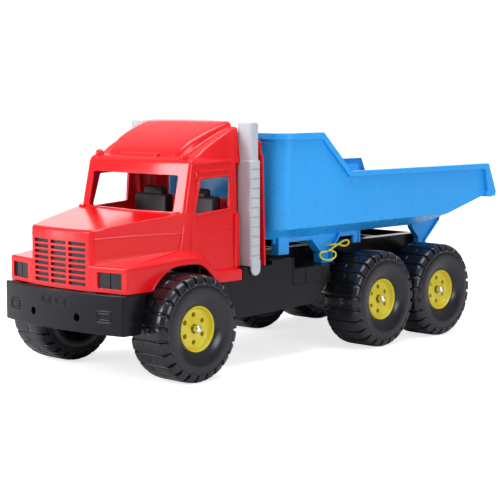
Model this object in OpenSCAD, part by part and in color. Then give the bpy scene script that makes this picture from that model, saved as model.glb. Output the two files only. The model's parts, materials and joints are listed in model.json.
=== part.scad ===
// Large plastic toy dump truck: bonneted cab, three axles and a tipping body.
// +Y points to the rear, +X to the truck's left side, +Z up; the wheels stand on z = 0.

/* [Wheels] */
// Diameter of a tyre over its tread
tyre_d = 145; // [144:0.5:145.5]
// Width of a tyre
tyre_w = 67; // [64:1:67]
// Distance from the centre plane to the outside of a tyre
track_half = 158; // [157:1:160]
// Outer diameter of a rim
rim_d = 62; // [58:1:64]
// Diameter of the steel axles
axle_d = 5; // [4:0.5:6]
// Number of shoulder lugs round a tyre
lugs = 24; // [18:1:28]

/* [Length] */
// Distance from the front axle to the middle axle
wheelbase = 390; // [388:1:392]
// Distance from the middle axle to the rear axle
bogie = 147; // [146:0.5:148]
// How far the bumper stands ahead of the front axle
overhang = 122; // [120:1:124]
// How far the tipping body reaches behind the front axle
tail = 702; // [700:1:704]

/* [Cab] */
// Half the width of the cab at its sills
cab_half = 121; // [119:1:122]
// Height of the cab's lower edge
cab_z = 125; // [125:0.5:126]
// Height of the roof without its fairing
roof_z = 296; // [292:1:300]
// Height of the top of the fairing
fairing_z = 344.5; // [338:0.5:346]
// Wall of the moulded shells
wall = 3; // [2.5:0.1:3.4]

/* [Tipping body] */
// Half the width of the body over its rim
body_half = 139; // [137:1:141]
// Height of the tall front part
body_z = 326; // [320:1:330]
// Height of the low rear part
low_z = 266; // [262:1:270]
// Height of the underside of the floor
floor_z = 174; // [173:0.5:176]
// Height of the tipping axis
tip_z = 128; // [126:1:130]

/* [Hidden] */
$fn = 64;

red = "#e0303a";
blue = "#3a9ff0";
black = "#26262a";
yellow = "#d9c928";
grey = "#b8b4be";
steel = "#c8ccd0";

centre_y = (tail - overhang) / 2;
axle_z = tyre_d / 2;
axle_r = axle_d / 2;
mid_y = wheelbase;
rear_y = wheelbase + bogie;
bow = 500;
nose_y = 9 - overhang;
cab_back = 125;
panel_y = 156;
tip_y = rear_y + 37.5;
rail_in = 62;
rail_out = 70;
boss_out = track_half - tyre_w - 1.5;
rim_x = track_half - 8;
hub_in = boss_out + 0.6;
hub_out = rim_x - 3;
pin_r = 4;
fit_gap = 0.06;
screen_lean = 12;
door_lean = 1.3;

// Moves a shape from the front axle's frame to the frame of the whole truck
module placed() {
    translate([0, -centre_y, 0]) children();
}

// Extrudes an outline of (y, z) points across the truck from x0 to x1
module side_cut(points, x0, x1) {
    translate([x0, 0, 0]) rotate([90, 0, 90]) linear_extrude(x1 - x0) polygon(points);
}

// Extrudes an outline of (x, z) points along the truck from y0 to y1
module front_cut(points, y0, y1) {
    translate([0, y1, 0]) rotate([90, 0, 0]) linear_extrude(y1 - y0) polygon(points);
}

// Extrudes an outline of (x, y) points upwards from z0 to z1
module plan_cut(points, z0, z1) {
    translate([0, 0, z0]) linear_extrude(z1 - z0) polygon(points);
}

// Draws a shape and its mirror image across the centre plane
module both_sides() {
    children();
    mirror([1, 0, 0]) children();
}

// Cuts a box given by its lowest and highest corners
module block(low, high) {
    translate(low) cube(high - low);
}

// Cylinder along X from x0 to x1
module rod_x(r, x0, x1, y, z) {
    translate([x0, y, z]) rotate([0, 90, 0]) cylinder(r = r, h = x1 - x0);
}

function mirrored(points) = concat(points, [for (i = [len(points) - 1:-1:0]) [-points[i][0], points[i][1]]]);

// ---------------------------------------------------------------- chassis

// Outline of a side skirt between the front and middle wheels
skirt = [[77, 70.5], [258, 76], [272, 81], [284, 93], [307, 114], [302, 122], [302, 131], [222, 131],
    [222, 147], [176, 147], [176, 141], [117, 141], [117, 125], [77, 125]];
skirt_hollow = [[74, 60], [262, 60], [270, 85], [281, 96], [300, 116], [298, 121], [298, 127.5],
    [218.5, 127.5], [218.5, 143.5], [179.5, 143.5], [179.5, 137.5], [120.5, 137.5], [120.5, 121.5], [74, 121.5]];

// Plan of the bumper: bowed front, square corners
module bumper_plan(inset, z0, z1) {
    intersection() {
        translate([0, bow - overhang, z0]) cylinder(r = bow - inset, h = z1 - z0, $fn = 180);
        block([inset - 122.5, -overhang - 1, z0], [122.5 - inset, -50, z1]);
    }
}

module bumper() {
    difference() {
        bumper_plan(0, 71, 124);
        bumper_plan(3.5, 68, 120.5);
        // Ends of the side returns slope away from the tyre
        side_cut([[-78.5, 60], [-64.5, 130], [-40, 130], [-40, 60]], -130, 130);
        block([-86, -100, 68], [86, -40, 130]);
        both_sides() rotate([90, 0, 0]) translate([45, 90.5, 100]) cylinder(r = 5.5, h = 40);
    }
    // Sockets behind the two tow holes
    both_sides() difference() {
        translate([45, -98, 90.5]) rotate([90, 0, 0]) cylinder(r = 9, h = 20.8);
        translate([45, -90, 90.5]) rotate([90, 0, 0]) cylinder(r = 5.5, h = 40);
    }
    // Raised outlines of the moulded lamp panels
    both_sides() bumper_frame(92, 94.8, 23, 14);
    bumper_frame(-16, 109.5, 17, 11);
    bumper_frame(14, 109.5, 17, 11);
}

// Thin raised rectangle on the bumper's bowed face
module bumper_frame(x, z, w, h) {
    face_y = bow - overhang - sqrt(bow * bow - x * x);
    turn = asin(x / bow);
    translate([x, face_y, z]) rotate([0, 0, turn]) difference() {
        block([-w / 2, -0.7, -h / 2], [w / 2, 2, h / 2]);
        block([1.2 - w / 2, -2, 1.2 - h / 2], [w / 2 - 1.2, 0.3, h / 2 - 1.2]);
    }
}

module skirts() {
    difference() {
        side_cut(skirt, -cab_half, cab_half);
        side_cut(skirt_hollow, 3.5 - cab_half, cab_half - 3.5);
        block([-52, 165, 60], [52, 298, 160]);
        // Room for the cab's lower edge
        block([-109, 100, 124.9], [109, 126, 160]);
        block([-96, 120, 124.9], [96, 160, 160]);
    }
    // Ledges behind the step that carry the body's front legs
    both_sides() block([rail_out - 1, 300, 127], [110, 328, 131]);
    // Bars on the step's face
    for (y = [248, 284]) both_sides() block([cab_half - 0.5, y, 107], [cab_half + 0.8, y + 2, 131]);
    both_sides() block([cab_half - 0.5, 222, 106], [cab_half + 0.8, 302, 108]);
    both_sides() block([cab_half - 0.5, 220, 106], [cab_half + 0.8, 222.5, 147]);
}

// Outline of a main rail, with drop plates round the axles
rail_side = [[-112, 96], [-112, 121], [77, 121], [165, 130], [165, 155], [601, 155], [601, 118], [590, 104],
    [rear_y + 26, 92], [rear_y + 12, 61], [rear_y - 12, 61], [rear_y - 26, 92],
    [mid_y + 26, 92], [mid_y + 12, 61], [mid_y - 12, 61], [mid_y - 26, 92],
    [300, 96], [60, 96], [14, 61], [-14, 61], [-40, 96]];

module rails() {
    both_sides() side_cut(rail_side, rail_in, rail_out);
    both_sides() block([rail_in - 6, 165, 152], [rail_out + 3, 601, 155]);
    for (y = [170, 262, 345, 425, 500, 592]) block([-rail_in - 1, y, 112], [rail_in + 1, y + 5, 153]);
    for (y = [-108, 30]) block([-rail_in - 1, y, 98], [rail_in + 1, y + 5, 121]);
    block([-rail_out, -110, 121], [rail_out, 120, cab_z - 0.1]);
    both_sides() for (y = [0, mid_y, rear_y]) rod_x(10, rail_out - 1, boss_out, y, axle_z);
    both_sides() rod_x(9, rail_out - 1, rail_out + 3, tip_y, tip_z);
}

module chassis() {
    color(black) placed() difference() {
        union() {
            bumper();
            skirts();
            rails();
            block([-86, -118, 120.5], [86, -70, 124]);
        }
        for (y = [0, mid_y, rear_y]) rod_x(axle_r + 0.04, -100, 100, y, axle_z);
        both_sides() rod_x(pin_r, rail_in - 8, rail_out + 8, tip_y, tip_z);
        for (p = screw_places) translate([p[0], p[1], 100]) cylinder(r = 1.7, h = 40);
    }
}

// ---------------------------------------------------------------- cab

screw_places = [[40, -65.5], [-40, -65.5], [46, 106.5], [-46, 106.5]];

fender = [[-120, cab_z], [-120, 158.5], [-95, 160], [-50, 166], [-7, 170], [31, 170], [44, 167], [57, 159],
    [68, 146], [76, 140.5], [115.5, 140.5], [115.5, cab_z], [66, cab_z], [60, 135], [48, 146.5], [31, 154],
    [-4, 154], [-23, 150.5], [-37, 142], [-47, 133], [-53, cab_z]];
fender_hollow = [[-130, 115], [-130, 155.5], [-95, 157], [-50, 163], [-7, 167], [31, 167], [42, 164.5],
    [55, 156], [66, 143], [74.5, 137.5], [112.5, 137.5], [112.5, 115]];

// Front surface shared by nose, bonnet and windscreen
module bowed(front, z0, z1, inset = 0) {
    translate([0, front + bow, z0]) cylinder(r = bow - inset, h = z1 - z0, $fn = 180);
}

module bonnet(inset) {
    intersection() {
        bowed(nose_y, 100, 240, inset);
        plan_cut(mirrored([[64 - inset, -130], [65 - inset, -104], [107 - inset, 20], [107 - inset, 40]]), 100, 240);
        side_cut([[-130, cab_z - 5 * inset], [-130, 204 - inset], [-104, 205 - inset], [14, 222 - inset],
            [30, 222 - inset], [30, cab_z - 5 * inset]], -120, 120);
    }
}

module fender_level(points, half, inset) {
    intersection() {
        bowed(nose_y, 100, 200, inset);
        side_cut(points, -half, half);
    }
}

// Cabin outline from the front, leaning inward towards the roof
function cabin_front(inset, low) = mirrored([[108.5 - inset, low], [106.5 - inset, 220],
    [104.8 - inset, roof_z - 9], [99 - inset, roof_z - inset]]);

module cabin(inset, low, back) {
    intersection() {
        front_cut(cabin_front(inset, low), -20, back);
        translate([0, 7.6 + inset, 222]) rotate([-screen_lean, 0, 0]) translate([0, 0, -200]) bowed(0, 0, 400);
    }
}

// Curved top line of the roof fairing, and the lower line of its shoulders
fairing_line = [[36.5, 295], [38.5, 300], [41.5, 304.3], [46.5, 308.8], [54, 314], [62, 318.6], [70, 322.7],
    [79, 326.9], [88, 330.6], [97, 334], [106, 337.2], [114, 339.9], [120, 342]];
shoulder_line = [[36.5, 294.5], [38.5, 296], [41.5, 298.6], [46.5, 302.6], [54, 307.6], [62, 312.2], [70, 316.2],
    [79, 320], [88, 323.6], [97, 326.8], [106, 330], [114, 332.6], [120, 334.4]];

// Shifts a rising line back and down by the wall, keeping only what lies before the rear face
function inner_line(line, inset) = [for (p = line) if (p[0] + inset < cab_back - inset) [p[0] + inset, p[1] - inset]];

module fairing(inset) {
    back = cab_back - inset;
    side_cut(concat([[back, 280], [36.5 + inset, 280]], inner_line(fairing_line, inset),
        [[back, fairing_z - inset]]), inset - 86, 86 - inset);
    intersection() {
        side_cut(concat([[back, 280], [36.5 + inset, 280]], inner_line(shoulder_line, inset),
            [[back, fairing_z - 8.2 - inset]]), inset - 104, 104 - inset);
        front_cut(mirrored([[104 - inset, 270], [103 - inset, 292], [97.5 - inset, fairing_z]]), 0, 200);
    }
}

// Narrow rear part of the cab and the wide panel behind the exhausts
module cab_rear() {
    difference() {
        block([-95, cab_back - 4, cab_z], [95, panel_y + 1, roof_z]);
        block([wall - 95, cab_back - 5, cab_z - 1], [95 - wall, panel_y + 2, roof_z - wall]);
    }
    difference() {
        front_cut(mirrored([[125, cab_z + 16.3], [119.5, 296], [116.5, 299], [115.5, 317]]), panel_y, panel_y + wall);
        block([-72, panel_y - 5, 233], [72, panel_y + 5, 283]);
        block([-80, panel_y - 5, 100], [80, panel_y + 5, 150]);
    }
}

// Narrow bars raised on the side of the cab, drawn in (y, z)
module side_bar(points) {
    both_sides() intersection() {
        translate([106.7, 0, 220]) rotate([0, -door_lean * 0.6, 0]) translate([0, 0, -220])
            side_cut(points, -1, 1.2);
        block([90, 0, 100], [120, 140, 300]);
    }
}

function bar(a, b, w) = let (d = (b - a) / norm(b - a), n = w / 2 * [-d[1], d[0]]) [a + n, b + n, b - n, a - n];

module side_bars() {
    side_bar(bar([31, 172], [31, 216], 2));
    side_bar(bar([31, 215], [42, 268], 2));
    side_bar(bar([31, 195], [104, 195.5], 1.4));
    side_bar(bar([6, 195], [30, 195], 1.2));
    side_bar([[111, 143], [121, 143], [121, 217], [113, 217]]);
    side_bar(bar([42, 275], [99, 277.5], 2.6));
    side_bar(bar([38, 285], [104, 286], 1.6));
    side_bar(window_side(3));
}

function window_side(grow) = [[37 - grow, 220 - grow], [104.5 + grow, 224.5 - grow], [107 + grow, 269 + grow],
    [51 - grow, 267 + grow]];

module cab_shell() {
    color(red) placed() difference() {
        union() {
            difference() {
                union() {
                    bonnet(0);
                    fender_level(fender, cab_half, 0);
                    cabin(0, cab_z, cab_back);
                    fairing(0);
                }
                bonnet(wall);
                fender_level(fender_hollow, cab_half - wall, wall);
                cabin(wall, 90, cab_back - wall);
                fairing(wall);
                block([-92, cab_back - 10, 80], [92, cab_back + 10, roof_z - wall - 0.5]);
            }
            cab_rear();
            side_bars();
            roof_lamps();
            both_sides() block([95, 4, 209], [104, 15, 214]);
            for (p = screw_places) translate([p[0], p[1], cab_z]) cylinder(r = 5, h = 16);
            // Bars across the open underside, with the bosses for the screws
            for (y = [-72, 68, 100]) block([-119.5, y, cab_z], [119.5, y + 13, cab_z + 3]);
        }
        grille_slots();
        lamp_windows();
        windscreen_opening();
        side_cut(window_side(0), -130, 130);
        for (p = screw_places) translate([p[0], p[1], cab_z - 1]) cylinder(r = 1.5, h = 15);
    }
}

// Three columns of eight slots in the nose
module grille_slots() {
    for (x = [-36.6, 0, 36.6], i = [0:7])
        block([x - 16, nose_y - 5, 131 + 7.55 * i], [x + 16, nose_y + 10, 135.9 + 7.55 * i]);
}

module lamp_windows() {
    both_sides() block([72, nose_y - 5, 130.6], [112, nose_y + 30, 151.5]);
}

module windscreen_opening() {
    side_cut([[-20, 223], [45, 223], [45, 272.5], [-20, 272.5]], -87, 87);
}

// Two round marker lamps and a flat bar above the windscreen
module roof_lamps() {
    both_sides() translate([87.5, 41, 297]) sphere(r = 5.6);
    side_cut([[29, 296], [39, 302.6], [48.5, 302.6], [48.5, 294], [29, 294]], -36.5, 36.5);
}

// Dark moulding behind the headlamp windows and the grille
module lamp_insert() {
    color("#55555a") placed() {
        difference() {
            intersection() {
                bowed(nose_y + wall + 0.3, 128, 200);
                union() {
                    both_sides() block([69.5, -120, 128.5], [116, -60, 153.5]);
                    block([-74.5, -120, 128.5], [74.5, -60, 131]);
                    block([-56, -120, 128.5], [56, -60, 192]);
                }
            }
            bowed(nose_y + wall + 3.3, 120, 205);
            both_sides() block([91.2, nose_y - 5, 130], [92.7, nose_y + 17.2, 152]);
        }
    }
}

// Seats and cab floor in one moulding
module seat_insert() {
    color(black) placed() {
        block([-88, 30, 150], [88, 118, 153]);
        both_sides() {
            side_cut([[98, 153], [98, 236], [101, 238.5], [111, 238.5], [114, 236], [114, 153]], 16, 80);
            side_cut([[99, 238], [99, 247], [101, 249], [110, 249], [112, 247], [112, 238]], 25, 62);
            side_cut([[50, 153], [50, 176], [54, 180], [98, 180], [98, 153]], 16, 80);
        }
        block([-16.5, 70, 153], [16.5, 114, 170]);
        both_sides() block([60, 102, cab_z + 3.2], [66, 112, 150.5]);
        both_sides() block([60, 69, cab_z + 3.2], [66, 79, 150.5]);
    }
}

// ---------------------------------------------------------------- exhausts

module exhaust() {
    difference() {
        union() {
            block([95.6, 129.2, 141.4], [125, 149, 290]);
            block([96.2, 130, 289], [123.5, 147, fairing_z - 2]);
            // Tongue that laps the outside of the skirt
            block([cab_half + 1, 130, 138], [124.6, 148, 150]);
            rod_x(9, cab_half + 1, 124.6, 139, 138);
        }
        block([90, 132, 144.4], [122.2, 146, 287]);
        block([90, 132.5, 280], [121, 144.5, fairing_z - 5]);
        for (i = [0:9]) block([123.8, 131.5, 156 + 13.4 * i], [133, 160, 158.2 + 13.4 * i]);
    }
}

module exhaust_left() {
    color(grey) placed() exhaust();
}

module exhaust_right() {
    color(grey) placed() mirror([1, 0, 0]) exhaust();
}

// ---------------------------------------------------------------- tipping body

tub_side = [[184, floor_z], [184, body_z], [267, body_z], [330, low_z + 1.5], [681, low_z], [696, 222],
    [686, 216], [578, 189], [540, floor_z]];
tub_hollow = [[187, floor_z + wall], [187, 400], [760, 400], [760, 239.6], [685, 219.2], [577, 192.2],
    [539, floor_z + wall]];
rim_band = [[180, body_z], [267, body_z], [330, low_z + 1.5], [681, low_z], [tail, 219.6], [tail - 1.5, 212],
    [676, 212], [679, 222], [671, low_z - 9], [326.5, low_z - 7.5], [264, body_z - 9], [180, body_z - 9]];

function tub_front(inset) = mirrored([[105 - inset * 0.6, floor_z + inset], [131 - inset, 189.5 + inset * 0.6],
    [135.5 - inset, body_z + 74 * (inset > 0 ? 1 : 0)]]);

module corner_plan(half, front, chamfer) {
    plan_cut(mirrored([[half - chamfer, front], [half, front + chamfer], [half, 800]]), 100, 450);
}

module tub_inside() {
    intersection() {
        side_cut(tub_hollow, -130, 130 + 3);
        front_cut(tub_front(wall), 100, 800);
        corner_plan(133, 187, 18);
    }
    intersection() {
        side_cut(tub_hollow, -133, 133);
        front_cut(tub_front(wall), 100, 800);
        corner_plan(133, 187, 18);
    }
}

// Ribs, feet and legs under one side of the floor
module underframe() {
    side_cut([[200, 178], [200, 167], [392, 167], [392, 178]], 98.5, 101.5);
    // Front foot
    block([93, 204, 151], [108, 226, 178]);
    // Front leg, a web with two flanges and a foot
    side_cut([[281, 178], [281, 167], [299, 149], [299, 131.5], [324, 131.5], [324, 149], [341, 170], [341, 178]],
        98.5, 101.5);
    side_cut([[278, 167], [281, 167], [301, 147], [301, 131.5], [298.5, 131.5], [298.5, 146]], 92, 108);
    side_cut([[321.5, 131.5], [324, 131.5], [324, 149], [343, 172], [343, 178], [339.5, 178], [339.5, 173],
        [321.5, 150.5]], 92, 108);
    block([92, 299, 131.5], [108, 324, 134]);
    // Bracket tab behind the front leg
    side_cut([[339, 178], [339, 168.5], [378, 168.5], [378, 155.5], [390, 155.5], [390, 178]], 99, 103);
    block([94, 388, 155.5], [106, 390.5, 178]);
    // Rear leg with the ear that swings on the hinge pin
    side_cut([[549, 180], [549, 166], [566, 148], [563.5, tip_z], [585.5, tip_z], [585, 142], [622, 174],
        [626, 202], [578, 192]], 77.5, 80.5);
    side_cut([[549, 180], [549, 166], [566, 148], [563.5, tip_z], [566.5, tip_z], [569, 149], [552, 167.5],
        [552, 180]], 74, 84);
    side_cut([[585.5, tip_z], [585, 142], [622, 174], [626, 202], [622.5, 201], [618.8, 175.5], [582, 143.5],
        [582.5, tip_z]], 74, 84);
    rod_x(11, 74, 84, tip_y, tip_z);
}

module tipper_body() {
    color(blue) placed() difference() {
        union() {
            intersection() {
                side_cut(tub_side, -136, 136);
                front_cut(tub_front(0), 100, 800);
                corner_plan(136, 184, 17);
            }
            intersection() {
                side_cut(rim_band, -body_half, body_half);
                corner_plan(body_half, 180, 16);
            }
            rod_x(5.5, -134, 134, tail - 6, 215.5);
            both_sides() underframe();
        }
        tub_inside();
        both_sides() rod_x(pin_r + fit_gap, 60, 100, tip_y, tip_z);
        rod_x(1.8, 90, 112, 318, 157);
    }
}

module hinge_pin() {
    rod_x(pin_r, rail_in - 1, 85, tip_y, tip_z);
    rod_x(7, 84.6, 87.6, tip_y, tip_z);
}

module hinge_pin_left() {
    color(black) placed() hinge_pin();
}

module hinge_pin_right() {
    color(black) placed() mirror([1, 0, 0]) hinge_pin();
}

// ---------------------------------------------------------------- yellow wire on the left front leg

wire_r = 1.35;
wire_route = [[96, 318, 157], [104, 318, 157], [108.5, 319.5, 157.5], [110.4, 325, 157.8], [111, 334, 157],
    [111.4, 341, 154.9], [111.8, 347, 153.9], [112.3, 352, 155], [112.6, 355, 157.6], [112.6, 354.6, 160.6],
    [112.5, 351, 162.6], [112.3, 346, 162.4], [112, 338, 160], [111.8, 324, 154.8], [111.6, 310.4, 149.6],
    [111.4, 302, 148.8], [111.2, 295, 148.4], [111.2, 290.8, 146], [111.4, 291.2, 142.2], [111.8, 295, 138.7],
    [112.6, 301.5, 136.4], [113.6, 309, 135.9], [114.6, 316.5, 137.2], [115.2, 321.4, 140.6],
    [115.4, 321.8, 144.6], [115.3, 318, 147.8], [115.1, 312, 149.8], [114.9, 305.5, 151.2]];

function cross3(a, b) = [a[1] * b[2] - a[2] * b[1], a[2] * b[0] - a[0] * b[2], a[0] * b[1] - a[1] * b[0]];
function unit(v) = v / norm(v);
function tangent(p, i) = unit(p[min(i + 1, len(p) - 1)] - p[max(i - 1, 0)]);

// Round wire swept along a list of points
module wire(p, r, sides = 8) {
    n = len(p);
    side_dir = [for (i = [0:n - 1]) unit(cross3(tangent(p, i), [0.3, 0.2, 1]))];
    up_dir = [for (i = [0:n - 1]) cross3(side_dir[i], tangent(p, i))];
    rings = [for (i = [0:n - 1], k = [0:sides - 1]) let (a = 360 * k / sides)
        p[i] + r * (cos(a) * side_dir[i] + sin(a) * up_dir[i])];
    walls = [for (i = [0:n - 2], k = [0:sides - 1]) let (m = (k + 1) % sides)
        [i * sides + k, i * sides + m, (i + 1) * sides + m, (i + 1) * sides + k]];
    first = [[for (k = [sides - 1:-1:0]) k]];
    last = [[for (k = [0:sides - 1]) (n - 1) * sides + k]];
    polyhedron(points = rings, faces = concat(walls, first, last));
}

module tie_wire() {
    color(yellow) placed() wire(wire_route, wire_r);
}

// ---------------------------------------------------------------- wheels and axles

module axle(y) {
    color(steel) placed() rod_x(axle_r, 4 - rim_x, rim_x - 4, y, axle_z);
}

// Half section of a tyre as (distance from its inner face, radius)
tyre_r = tyre_d / 2;
bead_r = rim_d / 2;
tyre_half = [[8, bead_r], [2.5, 42], [0, 51], [0.6, 60], [1.4, tyre_r - 7.5], [3, tyre_r - 3.5],
    [5.5, tyre_r - 0.9], [9, tyre_r]];
tyre_hollow = [[12, bead_r - 1], [11.5, 41], [4.5, 51], [5.5, 58], [9, tyre_r - 7], [15, tyre_r - 4.5]];
function tyre_section(half) = concat(half, [for (i = [len(half) - 1:-1:0]) [tyre_w - half[i][0], half[i][1]]]);

module tyre_shape() {
    rotate([0, 90, 0]) difference() {
        rotate_extrude($fn = 72) rotate(90) mirror([1, 0]) rotate(180) polygon(tyre_section(tyre_half));
        rotate_extrude($fn = 72) rotate(90) mirror([1, 0]) rotate(180) polygon(tyre_section(tyre_hollow));
        for (i = [0:lugs - 1], z = [-5, tyre_w - 17]) rotate([0, 0, (i + 0.5) * 360 / lugs])
            translate([tyre_r - 2.2, -1.5, z]) cube([9, 3, 22]);
    }
}

module tyre(y) {
    color(black) placed() translate([track_half - tyre_w, y, axle_z]) tyre_shape();
}

module rim_shape() {
    difference() {
        union() {
            rod_x(bead_r, hub_in + 8, rim_x, 0, 0);
            rod_x(9, hub_in, hub_out, 0, 0);
        }
        difference() {
            rod_x(bead_r - 2.5, rim_x - 9, rim_x + 1, 0, 0);
            rod_x(9, hub_in, hub_out, 0, 0);
        }
        difference() {
            rod_x(bead_r - 2.5, hub_in, rim_x - 12, 0, 0);
            rod_x(9, hub_in - 1, hub_out, 0, 0);
        }
        rod_x(axle_r + fit_gap, 0, 200, 0, 0);
        rod_x(6, hub_out - 5, hub_out + 1, 0, 0);
        for (i = [0:5]) rotate([60 * i, 0, 0]) rod_x(3.5, 100, 200, 0, 18.5);
    }
}

module rim(y) {
    color(yellow) placed() translate([0, y, axle_z]) rim_shape();
}

// Domed push-on cap on an axle end
module cap(y) {
    color(steel) placed() translate([rim_x - 4.6, y, axle_z]) rotate([0, 90, 0]) difference() {
        union() {
            cylinder(r = 4.6, h = 5.6);
            translate([0, 0, 5]) intersection() {
                sphere(r = 5.4, $fn = 48);
                translate([0, 0, 0.6]) cylinder(r = 6, h = 8);
            }
        }
        translate([0, 0, -1]) cylinder(r = axle_r, h = 1.6);
    }
}

// Screws that hold the cab down on the chassis
module cab_screws() {
    color(steel) placed() for (p = screw_places) translate([p[0], p[1], 0]) {
        translate([0, 0, 118.4]) cylinder(r = 3.6, h = 2.5);
        translate([0, 0, 120.8]) cylinder(r = 1.5, h = 17);
    }
}

module axle_front() axle(0);
module axle_mid() axle(mid_y);
module axle_rear() axle(rear_y);

chassis();
cab_shell();
lamp_insert();
seat_insert();
exhaust_left();
exhaust_right();
tipper_body();
hinge_pin_left();
hinge_pin_right();
tie_wire();
cab_screws();
axle_front();
axle_mid();
axle_rear();
tyre(0);  // tyre_front_left
mirror([1, 0, 0]) tyre(0);  // tyre_front_right
tyre(mid_y);  // tyre_mid_left
mirror([1, 0, 0]) tyre(mid_y);  // tyre_mid_right
tyre(rear_y);  // tyre_rear_left
mirror([1, 0, 0]) tyre(rear_y);  // tyre_rear_right
rim(0);  // rim_front_left
mirror([1, 0, 0]) rim(0);  // rim_front_right
rim(mid_y);  // rim_mid_left
mirror([1, 0, 0]) rim(mid_y);  // rim_mid_right
rim(rear_y);  // rim_rear_left
mirror([1, 0, 0]) rim(rear_y);  // rim_rear_right
cap(0);  // cap_front_left
mirror([1, 0, 0]) cap(0);  // cap_front_right
cap(mid_y);  // cap_mid_left
mirror([1, 0, 0]) cap(mid_y);  // cap_mid_right
cap(rear_y);  // cap_rear_left
mirror([1, 0, 0]) cap(rear_y);  // cap_rear_right
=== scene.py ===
"""Toy dump truck: the looks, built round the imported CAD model. Blender 4.5."""

import math

import bmesh
import bpy
import numpy as np
from mathutils import Matrix, Vector
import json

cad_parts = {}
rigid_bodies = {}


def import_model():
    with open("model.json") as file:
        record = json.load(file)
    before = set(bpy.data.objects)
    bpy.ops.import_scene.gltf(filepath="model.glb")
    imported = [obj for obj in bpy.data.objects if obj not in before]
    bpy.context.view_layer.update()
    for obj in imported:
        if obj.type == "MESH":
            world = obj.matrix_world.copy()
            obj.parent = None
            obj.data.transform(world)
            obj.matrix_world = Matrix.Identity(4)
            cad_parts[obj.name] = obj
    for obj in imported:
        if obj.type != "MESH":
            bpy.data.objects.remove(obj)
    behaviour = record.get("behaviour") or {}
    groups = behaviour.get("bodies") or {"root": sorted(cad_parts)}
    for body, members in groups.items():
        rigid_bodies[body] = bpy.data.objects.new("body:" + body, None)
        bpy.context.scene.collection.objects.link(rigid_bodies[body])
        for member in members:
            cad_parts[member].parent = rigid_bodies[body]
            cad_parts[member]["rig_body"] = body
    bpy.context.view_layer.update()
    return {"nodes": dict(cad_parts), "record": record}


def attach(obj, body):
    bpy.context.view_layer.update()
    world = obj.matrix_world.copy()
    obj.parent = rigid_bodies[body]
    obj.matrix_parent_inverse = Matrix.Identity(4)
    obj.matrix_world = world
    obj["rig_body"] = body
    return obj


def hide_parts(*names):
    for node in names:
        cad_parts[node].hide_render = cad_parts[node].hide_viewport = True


MM = 0.001
ROWS = {"front": -0.290, "mid": 0.100, "rear": 0.247}
SIDES = {"left": 1, "right": -1}
AXLE_Z = 0.0725
TYRE_X = 0.1245
RIM_FACE_X = 0.150

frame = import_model()
nodes = frame["nodes"]


# ---------------------------------------------------------------- camera, floor, light


def make_camera():
    """Long lens ahead of the truck's left front corner, aimed by its own rotation."""
    data = bpy.data.cameras.new("camera")
    data.lens = 108.9
    data.sensor_width = 36.0
    data.shift_y = -0.0117
    data.clip_start = 0.05
    data.clip_end = 50.0
    camera = bpy.data.objects.new("camera", data)
    camera.location = (1.562, -1.678, 0.394)
    camera.rotation_euler = (math.radians(90 - 6.012), 0, math.radians(43.497))
    bpy.context.scene.collection.objects.link(camera)
    bpy.context.scene.camera = camera


def make_floor():
    """Pale matt floor that the camera sees as white, with the truck's soft shadow on it."""
    mesh = bpy.data.meshes.new("floor")
    reach = 30.0
    corners = [(-reach, -reach, 0), (reach, -reach, 0), (reach, reach, 0), (-reach, reach, 0)]
    mesh.from_pydata(corners, [], [(0, 1, 2, 3)])
    floor = bpy.data.objects.new("floor", mesh)
    bpy.context.scene.collection.objects.link(floor)
    mat = bpy.data.materials.new("floor_white")
    mat.use_nodes = True
    shader = mat.node_tree.nodes["Principled BSDF"]
    shader.inputs["Base Color"].default_value = (0.62, 0.62, 0.62, 1)
    shader.inputs["Roughness"].default_value = 0.6
    shader.inputs["Specular IOR Level"].default_value = 0.0
    shader.inputs["Emission Color"].default_value = (1, 1, 1, 1)
    path = mat.node_tree.nodes.new("ShaderNodeLightPath")
    glow = mat.node_tree.nodes.new("ShaderNodeMath")
    glow.operation = "MULTIPLY"
    glow.inputs[1].default_value = 0.72
    mat.node_tree.links.new(path.outputs["Is Camera Ray"], glow.inputs[0])
    mat.node_tree.links.new(glow.outputs["Value"], shader.inputs["Emission Strength"])
    mesh.materials.append(mat)


def area_light(name, place, target, size, power):
    """Soft rectangular light aimed at a point; the camera does not see the panel itself."""
    data = bpy.data.lights.new(name, "AREA")
    data.shape = "RECTANGLE"
    data.size, data.size_y = size
    data.energy = power
    light = bpy.data.objects.new(name, data)
    light.visible_camera = False
    light.location = place
    light.rotation_euler = (Vector(target) - Vector(place)).to_track_quat("-Z", "Y").to_euler()
    bpy.context.scene.collection.objects.link(light)


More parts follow.
